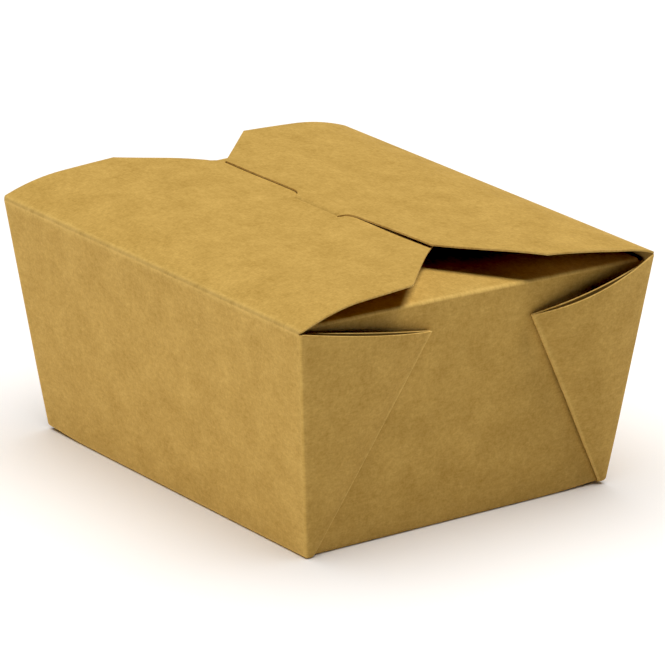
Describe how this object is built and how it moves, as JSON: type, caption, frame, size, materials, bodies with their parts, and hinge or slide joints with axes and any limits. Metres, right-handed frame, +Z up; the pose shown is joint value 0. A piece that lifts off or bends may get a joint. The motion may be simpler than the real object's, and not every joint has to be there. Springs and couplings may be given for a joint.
{
  "type": "food carton",
  "caption": "Folded kraft board take-away carton with pleated corners, flaring walls and a top that a locking flap with a tab keeps shut.",
  "frame": {"origin": "middle of the base, on the surface that the carton stands on", "axes": "+X along the long walls, +Y towards the wall that carries the locking flap, +Z up"},
  "size_m": [0.1318, 0.1086, 0.0683],
  "materials": {
    "kraft_board": "matt brown kraft with fine fibres"
  },
  "bodies": {
    "carton": {"carton": "kraft_board"},
    "locking_flap": {"locking_flap": "kraft_board"}
  },
  "joints": [
    {"name": "locking_flap_crease", "type": "hinge", "parent": "carton", "child": "locking_flap", "pos_m": [0, 0.05402, 0.062], "axis": [-1, 0, 0], "range_deg": [0, 180]}
  ]
}
